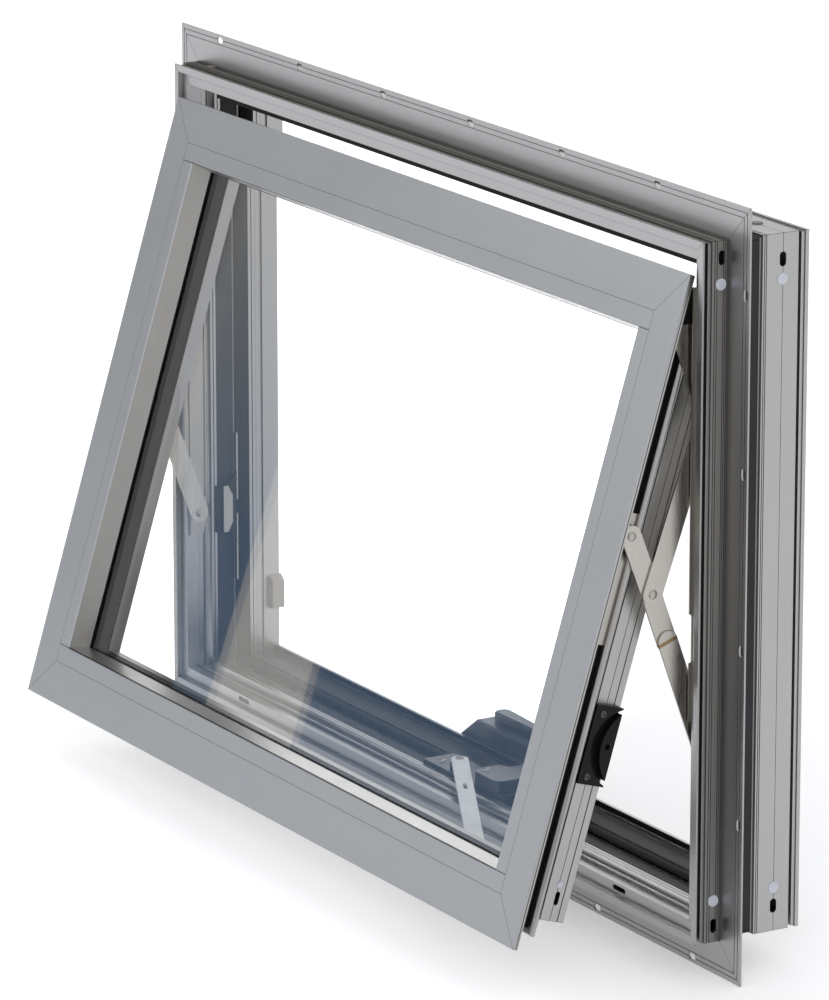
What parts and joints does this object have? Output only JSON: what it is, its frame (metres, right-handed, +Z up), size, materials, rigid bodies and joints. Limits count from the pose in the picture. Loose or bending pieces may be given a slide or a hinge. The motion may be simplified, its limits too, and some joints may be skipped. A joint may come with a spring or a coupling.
{
  "type": "awning window",
  "caption": "Top-hung awning window, open, with a mitred thermally broken metal frame, nail fin, insulating glass, scissor stays and a crank operator.",
  "frame": {"origin": "on the back of the nail fin at mid-width and at mid-height of the sill's fin, the face that rests on the wall", "axes": "+X to the right seen from outdoors, +Y into the building, +Z up"},
  "size_m": [0.978, 0.3109, 0.6732],
  "materials": {
    "frame_finish": "satin",
    "sash_finish": "satin",
    "thermal_break": "matt",
    "gasket": "matt",
    "glass": "clear",
    "spacer": "matt black",
    "stainless": "brushed",
    "black_hardware": "semi-gloss",
    "handle_finish": "satin"
  },
  "bodies": {
    "root": {"frame_head_outer": "frame_finish", "frame_head_inner": "frame_finish", "frame_sill_outer": "frame_finish", "frame_sill_inner": "frame_finish", "frame_left_jamb_outer": "frame_finish", "frame_left_jamb_inner": "frame_finish", "frame_right_jamb_outer": "frame_finish", "frame_right_jamb_inner": "frame_finish", "frame_thermal_breaks": "thermal_break", "sash_thermal_breaks": "thermal_break", "frame_weather_seal": "gasket", "head_blade_seal": "gasket", "sill_cover_strip": "gasket", "sill_leg_seal": "gasket", "glazing_seal_outer": "gasket", "glazing_seal_inner": "gasket", "sash_top_rail_outer": "sash_finish", "sash_top_rail_inner": "sash_finish", "sash_bottom_rail_outer": "sash_finish", "sash_bottom_rail_inner": "sash_finish", "sash_left_stile_outer": "sash_finish", "sash_left_stile_inner": "sash_finish", "sash_right_stile_outer": "sash_finish", "sash_right_stile_inner": "sash_finish", "glazing_bead_top": "sash_finish", "glazing_bead_bottom": "sash_finish", "glazing_bead_left": "sash_finish", "glazing_bead_right": "sash_finish", "glass_outer_pane": "glass", "glass_inner_pane": "glass", "glass_spacer": "spacer", "stay_left_track": "stainless", "stay_left_shoe": "stainless", "stay_left_short_arm": "stainless", "stay_left_long_arm": "stainless", "stay_left_sash_bar": "stainless", "head_guide_left": "black_hardware", "head_bracket_left": "stainless", "lock_keeper_left": "black_hardware", "lock_body_left": "black_hardware", "lock_bar_left": "stainless", "lock_lever_left": "handle_finish", "stay_right_track": "stainless", "stay_right_shoe": "stainless", "stay_right_short_arm": "stainless", "stay_right_long_arm": "stainless", "stay_right_sash_bar": "stainless", "head_guide_right": "black_hardware", "head_bracket_right": "stainless", "lock_keeper_right": "black_hardware", "lock_body_right": "black_hardware", "lock_bar_right": "stainless", "lock_lever_right": "handle_finish", "operator_arm": "stainless", "operator_sash_rail": "stainless", "operator_housing": "handle_finish", "operator_cover": "handle_finish", "operator_crank": "handle_finish"}
  },
  "joints": []
}
